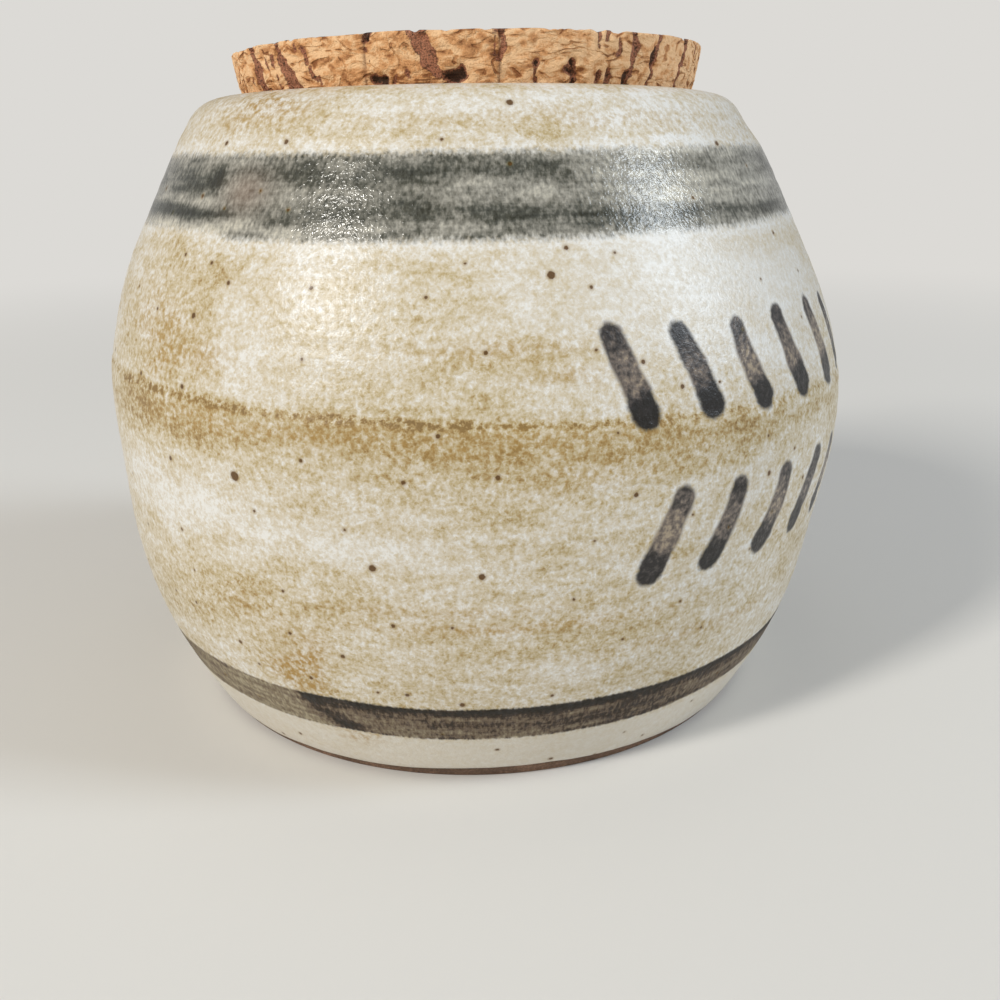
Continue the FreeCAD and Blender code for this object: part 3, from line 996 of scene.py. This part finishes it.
def face_bark(x, y, points, pores):
    """How deep and how dark the pores lie in a flat face."""
    depth = np.zeros(x.shape)
    dark = np.zeros(x.shape)
    wobble = 0.35 * lumps(points, 1.3, 31) + 0.15 * lumps(points, 0.7, 32)
    for px, py, length, width, turn, deep, darkness in pores:
        near = (np.abs(x - px) < length + 1) & (np.abs(y - py) < length + 1)
        along = (x[near] - px) * math.cos(turn) + (y[near] - py) * math.sin(turn)
        across = -(x[near] - px) * math.sin(turn) + (y[near] - py) * math.cos(turn)
        out = np.hypot(along / (length / 2), across / (width / 2)) - 1
        inside = soft_step(-(out * width / 2 + wobble[near]), -0.12, 0.4)
        depth[near] = np.maximum(depth[near], deep * inside)
        dark[near] = np.maximum(dark[near], darkness * inside)
    return depth, dark


def side_bark(azimuth, height, points, channels):
    """How deep and how dark the bark channels lie in the side."""
    depth = np.zeros(azimuth.shape)
    dark = np.zeros(azimuth.shape)
    wobble = 0.32 * lumps(points * (1, 1, 0.8), 1.5, 33) + 0.2 * lumps(points, 0.7, 34)
    degree = math.radians(1) * CORK_GIRTH
    for top_azimuth, top, low_azimuth, bottom, width, deep, darkness in channels:
        line = np.array([[0, top_azimuth, level] for level in height[:, 0]])
        sway = 0.35 * lumps(line, 2.4, 35)
        across = degrees_from(azimuth, top_azimuth) * degree + sway[:, None]
        up = height - top
        lean = (low_azimuth - top_azimuth) * degree
        fall = bottom - top
        share = stroke_share(across, up, lean, fall)
        off = np.hypot(across - share * lean, up - share * fall) + wobble
        inside = soft_step(-off, -width / 2 - 0.3, -width / 2 + 0.7)
        depth = np.maximum(depth, deep * inside)
        dark = np.maximum(dark, darkness * inside)
    return depth, dark


def growth_layers(wrinkle, points, on_side, board):
    """The bark's layers, cut across by the side and along by the faces.

    The first value is how deep they lie, and the second how hollow between wrinkles."""
    warp = 1.5 * lumps(points, 5.5, 36) + 0.7 * lumps(points, 2.2, 37)
    layers = lumps(points * (0.34, 0.34, 1) + (0, 0, 1) * warp[..., None], 1.5, 38)
    flakes = lumps(points * (0.8, 0.8, 1), 1.1, 39)
    ridge = 1 - np.abs(layers) * 1.1
    side_relief = wrinkle * (0.3 - 0.45 * ridge + 0.3 * flakes)
    contours = lumps(points * (1, 1, 0) + (0, 0, 3), 9, 44) * 2.6 + lumps(points, 2.6, 45) * 0.5
    contour = np.sin(contours * 2 * math.pi)
    face_relief = 0.10 * (0.5 + 0.5 * contour) + 0.07 * (flakes + 1) + 0.07 * board
    relief = np.where(on_side, side_relief, face_relief * 0.9)
    # On the side this darkens the hollows between the wrinkles as painted shade; on the faces it
    # follows the growth lines.
    shade_and_grain = np.where(on_side, 0.5 - 0.5 * ridge + 0.3 * flakes, 0.28 - 0.12 * contour)
    return np.maximum(relief + 0.05, 0), shade_and_grain


def glue_seams(x, points):
    """1 along each glue seam between the boards, and 0 away from it."""
    sway = 0.12 * lumps(points * (0, 1, 1), 7, 46)
    seam = np.zeros(x.shape)
    for place in GLUE_SEAMS:
        seam = np.maximum(seam, 1 - soft_step(np.abs(x + sway - place), 0.05, 0.42))
    return seam


def saw_the_top(tilt, points, azimuth, radius, height, x, rim, top):
    """Leaves the top a little out of level, and chips its edge."""
    chips = np.maximum(lumps(points * (1, 1, 0), 3.2, 47) - 0.45, 0) * 0.9
    chips += np.maximum(lumps(points * (1, 1, 0), 1.2, 48) - 0.3, 0) * 0.35
    chips += 0.55 * bell(degrees_from(azimuth, 33), 0, 1.3)
    edge_wave = 0.16 * lumps(points * (1, 1, 0), 7, 49) - 0.06
    near_rim = soft_step(radius, rim - 2.4, rim - 0.6)
    share = np.clip((height - SHOWN_FROM) / (top - SHOWN_FROM), 0, 1)
    points[..., 2] += share * (tilt * x + edge_wave * near_rim)
    points[..., 2] -= chips * near_rim * share ** 3
    shrink = 1 - 0.5 * chips * soft_step(height, top - 1.0, top) * near_rim / radius
    points[..., :2] *= shrink[..., None]


def cut_the_cork(settings):
    """The cork's skin: three boards of bark glued side by side and turned to a taper."""
    rng = random.Random(23)
    foot, rim, low, high = cork_outline("cork_stopper")
    sides = settings.sides
    taper = (rim - foot) / (high - low)
    top = high - SAWN_OFF
    rings = cork_rings(foot, rim, low, top, taper)
    radius, height, face = [np.tile(column[:, None], (1, sides)) for column in rings]
    azimuth = np.tile(degrees_from(np.arange(sides) * 360 / sides, 0), (len(radius), 1))
    points = turned(azimuth, radius, height)
    x, y = points[..., 0].copy(), points[..., 1].copy()

    channels = side_channels(rng)
    depth, dark = side_bark(azimuth, height, points, channels)
    for flat, reach, seed in ((TOP, rim, 41), (BASE, foot, 42)):
        pores = face_pores(rng, reach, channels)
        sunk, darkened = face_bark(x, y, points * (1, 1, 0) + (0, 0, seed), pores)
        depth = np.where(face == flat, sunk, depth)
        dark = np.where(face == flat, darkened, dark)
    board = np.digitize(x, GLUE_SEAMS)
    relief, shade_and_grain = growth_layers(settings.wrinkle / MM, points, face == SIDE, board)
    seam = glue_seams(x, points)
    depth = depth + relief + 0.22 * seam
    # The side swells a little where the throat doesn't squeeze it.
    depth -= 0.3 * soft_step(height, 132.6, 135) * (face == SIDE)

    outwards = turned(azimuth, 1, np.full(radius.shape, -taper))
    outwards[face == TOP] = (0, 0, 1)
    outwards[face == BASE] = (0, 0, -1)
    points -= outwards * depth[..., None]
    saw_the_top(settings.tilt, points, azimuth, radius, height, x, rim, top)
    points[..., 2] = np.clip(points[..., 2], low, high - 0.02)
    # It sits in the lip, which leans to the left.
    lean = bpy.context.scene.canister_pot.slump / MM
    points[..., 0] -= lean

    piece = turned_skin(
        "cut_cork_stopper", points, (-lean, 0, low + 0.1), (-lean, 0, top - 0.1),
    )
    store(piece, "bark", dark)
    store(piece, "seam", 0.7 * seam)
    store(piece, "shade_and_grain", shade_and_grain)
    tint = 0.10 * (board == 1) - 0.06 * (board == 2) + 0.08 * lumps(points, 16, 50)
    store(piece, "board_tint", tint)
    piece.data.materials.append(natural_cork(settings))
    return piece


def natural_cork(settings):
    """Natural cork bark, sawn and sanded, with no finish on it.

    To the eye: warm, dry and soft-edged, darker in its wrinkles, with powdery
    red-brown pores and a cell grain of about a third of a millimetre."""
    material, tree, shader = new_material("natural_cork_bark")
    place = add_node(tree, "ShaderNodeTexCoord").outputs["Object"]
    value = {
        name: add_node(tree, "ShaderNodeAttribute", attribute_name=name).outputs["Fac"]
        for name in ("bark", "seam", "shade_and_grain", "board_tint")
    }
    layered = add_node(
        tree, "ShaderNodeVectorMath", {0: place, 1: (0.5, 0.5, 1)}, operation="MULTIPLY",
    ).outputs["Vector"]
    cells, flakes, clouds, growth = [
        add_node(
            tree, "ShaderNodeTexNoise",
            {"Vector": vector, "Scale": 1 / (size * MM), "Detail": detail,
             "Roughness": roughness, "Distortion": distortion},
        ).outputs["Fac"]
        for vector, size, detail, roughness, distortion in (
            (place, 0.36, 2, 0.6, 0), (layered, 1.6, 3, 0.5, 0.7),
            (place, 6, 2, 0.5, 0), (layered, 5, 2, 0.5, 0.4),
        )
    ]
    # Growth layers: curling lines about a millimetre apart, as the knife leaves them
    growth = add_node(
        tree, "ShaderNodeMath", {0: growth, 1: 44.0}, operation="MULTIPLY",
    ).outputs["Value"]
    growth = add_node(tree, "ShaderNodeMath", {0: growth}, operation="SINE").outputs["Value"]
    # The powder in a pore breaks up along its edge.
    ragged = add_node(
        tree, "ShaderNodeMath", {0: flakes, 1: 0.5, 2: value["bark"]}, operation="MULTIPLY_ADD",
    ).outputs["Value"]
    furrow, broken_and_highlight_calm, powder = [
        add_node(
            tree, "ShaderNodeMapRange",
            {"Value": part, "From Min": start, "From Max": end, "To Max": high},
            interpolation_type=curve,
        ).outputs["Result"]
        for part, curve, start, end, high in (
            (growth, "SMOOTHSTEP", 0.35, 1.0, 1.0), (flakes, "LINEAR", 0.4, 0.6, 1.0),
            (ragged, "SMOOTHSTEP", 0.4, 0.54, 0.95),
        )
    ]
    furrow = add_node(
        tree, "ShaderNodeMath", {0: furrow, 1: broken_and_highlight_calm}, operation="MULTIPLY",
    ).outputs["Value"]
    # The tone takes in painted shade in the hollows between the side's wrinkles.
    tone = value["board_tint"]
    for part, amount in ((cells, 0.6), (flakes, 1.1), (clouds, 0.5), (value["shade_and_grain"], 0.8),
                         (furrow, 0.5)):
        tone = add_node(
            tree, "ShaderNodeMath", {0: part, 1: amount, 2: tone}, operation="MULTIPLY_ADD",
        ).outputs["Value"]
    tone = add_node(
        tree, "ShaderNodeMath", {0: tone, 1: 0.98}, operation="SUBTRACT",
    ).outputs["Value"]
    ramp = add_node(tree, "ShaderNodeValToRGB", {"Fac": tone})
    set_stops(ramp, (
        (0.15, settings.light), (0.45, settings.middle), (0.95, settings.dark),
    ))
    # From the rim of a pore inwards: a dark skin, powdery bark, and a black hollow
    powdery = add_node(
        tree, "ShaderNodeMath", {0: cells, 1: 1.2, 2: ragged}, operation="MULTIPLY_ADD",
    ).outputs["Value"]
    powdery = add_node(
        tree, "ShaderNodeMath", {0: powdery, 1: 0.62}, operation="SUBTRACT",
    ).outputs["Value"]
    pore_ramp = add_node(tree, "ShaderNodeValToRGB", {"Fac": powdery})
    bark = Vector(settings.lenticel)
    set_stops(pore_ramp, (
        (0.42, bark * 0.3), (0.53, bark * 0.6), (0.62, bark * 1.3), (0.74, bark * 0.6),
        (0.98, settings.pit),
    ))
    pitted = add_node(
        tree, "ShaderNodeMix", {0: powder, 6: ramp.outputs["Color"],
                                7: pore_ramp.outputs["Color"]}, data_type="RGBA",
    ).outputs[2]
    glued = add_node(
        tree, "ShaderNodeMix", {0: value["seam"], 6: pitted, 7: (*linear("#6A4029"), 1)},
        data_type="RGBA",
    ).outputs[2]
    height = flakes
    for part, amount in ((cells, 0.2), (furrow, -0.26)):
        height = add_node(
            tree, "ShaderNodeMath", {0: part, 1: amount, 2: height}, operation="MULTIPLY_ADD",
        ).outputs["Value"]
    bump = add_node(
        tree, "ShaderNodeBump", {"Height": height, "Strength": 1.0, "Distance": 1.1 * MM},
    )
    tree.links.new(glued, shader.inputs["Base Color"])
    tree.links.new(bump.outputs["Normal"], shader.inputs["Normal"])
    shader.inputs["Roughness"].default_value = 0.86
    shader.inputs["IOR"].default_value = 1.4
    return material


# ---------------------------------------------------------------- the stage

CAMERA_PLACE = (-1.2, -241.9, 120.2)
CAMERA_DOWN = 19.03       # degrees under the level
CAMERA_RIGHT = 1.43       # degrees to the right of straight ahead
CAMERA_ROLL = -0.69
LENS = 36
SENSOR = 36
POT_MIDDLE = Vector((0, 0, 0.075))
FLOOR_REACH = 30          # metres each way, farther than the haze starts


def stage_floor(settings):
    """Matt painted board. To the eye: plain and pale, and it melts into the distance."""
    material, tree, shader = new_material("matt_painted_board")
    shader.inputs["Base Color"].default_value = (*settings.floor, 1)
    shader.inputs["Roughness"].default_value = 0.95
    place = add_node(tree, "ShaderNodeTexCoord").outputs["Object"]
    reach = add_node(
        tree, "ShaderNodeVectorMath", {0: place}, operation="LENGTH",
    ).outputs["Value"]
    far = add_node(
        tree, "ShaderNodeMapRange", {"Value": reach, "From Min": 0.22, "From Max": 1.0},
        interpolation_type="SMOOTHSTEP",
    ).outputs["Result"]
    seen = add_node(tree, "ShaderNodeLightPath").outputs["Is Camera Ray"]
    share = add_node(
        tree, "ShaderNodeMath", {0: far, 1: seen}, operation="MULTIPLY",
    ).outputs["Value"]
    haze = add_node(
        tree, "ShaderNodeEmission", {"Color": (*settings.floor, 1), "Strength": 1.0},
    ).outputs["Emission"]
    mix = add_node(
        tree, "ShaderNodeMixShader", {0: share, 1: shader.outputs["BSDF"], 2: haze},
    )
    output = next(n for n in tree.nodes if n.type == "OUTPUT_MATERIAL")
    tree.links.new(mix.outputs["Shader"], output.inputs["Surface"])
    return material


def room_light(settings):
    """Even light from all round, in front of a plain backdrop."""
    world = bpy.data.worlds.new("studio_room")
    bpy.context.scene.world = world
    world.use_nodes = True
    tree = world.node_tree
    tree.nodes.clear()
    seen = add_node(tree, "ShaderNodeLightPath").outputs["Is Camera Ray"]
    room = add_node(
        tree, "ShaderNodeBackground",
        {"Color": (*linear("#FBFAF8"), 1), "Strength": settings.sky},
    ).outputs["Background"]
    backdrop = add_node(
        tree, "ShaderNodeBackground", {"Color": (*settings.floor, 1), "Strength": 1.0},
    ).outputs["Background"]
    mix = add_node(tree, "ShaderNodeMixShader", {0: seen, 1: room, 2: backdrop})
    add_node(tree, "ShaderNodeOutputWorld", {"Surface": mix.outputs["Shader"]})


def softbox(name, direction, distance, size, power, colour):
    """A tall softbox that looks at the middle of the pot."""
    light = bpy.data.lights.new(name, "AREA")
    light.shape = "RECTANGLE"
    light.size, light.size_y = size
    light.energy = power
    light.color = colour
    lamp = bpy.data.objects.new(name, light)
    bpy.context.scene.collection.objects.link(lamp)
    way = Vector(direction).normalized()
    lamp.location = POT_MIDDLE + way * distance
    lamp.rotation_euler = way.to_track_quat("Z", "Y").to_euler()


# ---------------------------------------------------------------- operators

class CANISTER_OT_throw_pot(bpy.types.Operator):
    """Turn the stoneware pot, with its glaze, bands and brush dabs"""
    bl_idname = "canister.throw_pot"
    bl_label = "Throw the Pot"
    bl_options = {"REGISTER", "UNDO"}

    def execute(self, context):
        pot = throw_the_pot(context.scene.canister_pot)
        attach(pot, "root")
        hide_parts("stoneware_pot")
        return {"FINISHED"}


class CANISTER_OT_cut_cork(bpy.types.Operator):
    """Turn the cork stopper, with its bark pores and glue seams"""
    bl_idname = "canister.cut_cork"
    bl_label = "Cut the Cork"
    bl_options = {"REGISTER", "UNDO"}

    def execute(self, context):
        cork = cut_the_cork(context.scene.canister_cork)
        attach(cork, "root")
        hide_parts("cork_stopper")
        return {"FINISHED"}


class CANISTER_OT_set_stage(bpy.types.Operator):
    """Lay the floor, and place the lights and the camera"""
    bl_idname = "canister.set_stage"
    bl_label = "Set the Stage"
    bl_options = {"REGISTER", "UNDO"}

    def execute(self, context):
        settings = context.scene.canister_stage
        mesh = bpy.data.meshes.new("floor")
        square = ((-1, -1), (1, -1), (1, 1), (-1, 1))
        mesh.from_pydata(
            [(x * FLOOR_REACH, y * FLOOR_REACH, 0) for x, y in square], [], [(0, 1, 2, 3)],
        )
        mesh.materials.append(stage_floor(settings))
        floor = bpy.data.objects.new("floor", mesh)
        context.scene.collection.objects.link(floor)
        room_light(settings)
        softbox("key_softbox", (-0.64, -0.55, 0.54), 2.6, (0.34, 0.7), settings.key_power,
                (1.0, 0.97, 0.91))
        softbox("side_softbox", (0.82, -0.21, 0.52), 2.6, (0.6, 1.15), settings.side_power,
                (0.80, 0.90, 1.0))
        camera = bpy.data.cameras.new("camera")
        camera.lens = LENS
        camera.sensor_width = SENSOR
        camera.clip_start = 0.01
        camera.clip_end = 100
        eye = bpy.data.objects.new("camera", camera)
        context.scene.collection.objects.link(eye)
        eye.matrix_world = (
            Matrix.Translation(Vector(CAMERA_PLACE) * MM)
            @ Matrix.Rotation(math.radians(-CAMERA_RIGHT), 4, "Z")
            @ Matrix.Rotation(math.radians(90 - CAMERA_DOWN), 4, "X")
            @ Matrix.Rotation(math.radians(CAMERA_ROLL), 4, "Z")
        )
        context.scene.camera = eye
        context.scene.view_settings.view_transform = "Standard"
        return {"FINISHED"}


class CANISTER_PT_sidebar(bpy.types.Panel):
    """The steps that make the canister, with their settings"""
    bl_label = "Canister"
    bl_idname = "CANISTER_PT_sidebar"
    bl_space_type = "VIEW_3D"
    bl_region_type = "UI"
    bl_category = "Canister"

    def draw(self, context):
        for settings, operator in (
            (context.scene.canister_pot, CANISTER_OT_throw_pot),
            (context.scene.canister_cork, CANISTER_OT_cut_cork),
            (context.scene.canister_stage, CANISTER_OT_set_stage),
        ):
            box = self.layout.box()
            for name in settings.bl_rna.properties.keys():
                if name not in ("rna_type", "name"):
                    box.prop(settings, name)
            box.operator(operator.bl_idname)


CLASSES = (
    CanisterPotSettings, CanisterCorkSettings, CanisterStageSettings,
    CANISTER_OT_throw_pot, CANISTER_OT_cut_cork, CANISTER_OT_set_stage, CANISTER_PT_sidebar,
)


def register():
    """Makes the settings, the operators and the panel known to Blender."""
    for cls in CLASSES:
        bpy.utils.register_class(cls)
    bpy.types.Scene.canister_pot = PointerProperty(type=CanisterPotSettings)
    bpy.types.Scene.canister_cork = PointerProperty(type=CanisterCorkSettings)
    bpy.types.Scene.canister_stage = PointerProperty(type=CanisterStageSettings)


def unregister():
    """Takes them away again."""
    del bpy.types.Scene.canister_stage
    del bpy.types.Scene.canister_cork
    del bpy.types.Scene.canister_pot
    for cls in reversed(CLASSES):
        bpy.utils.unregister_class(cls)


def main():
    """Makes the canister and its stage."""
    register()
    bpy.ops.canister.throw_pot()
    bpy.ops.canister.cut_cork()
    bpy.ops.canister.set_stage()


if __name__ == "__main__":
    main()
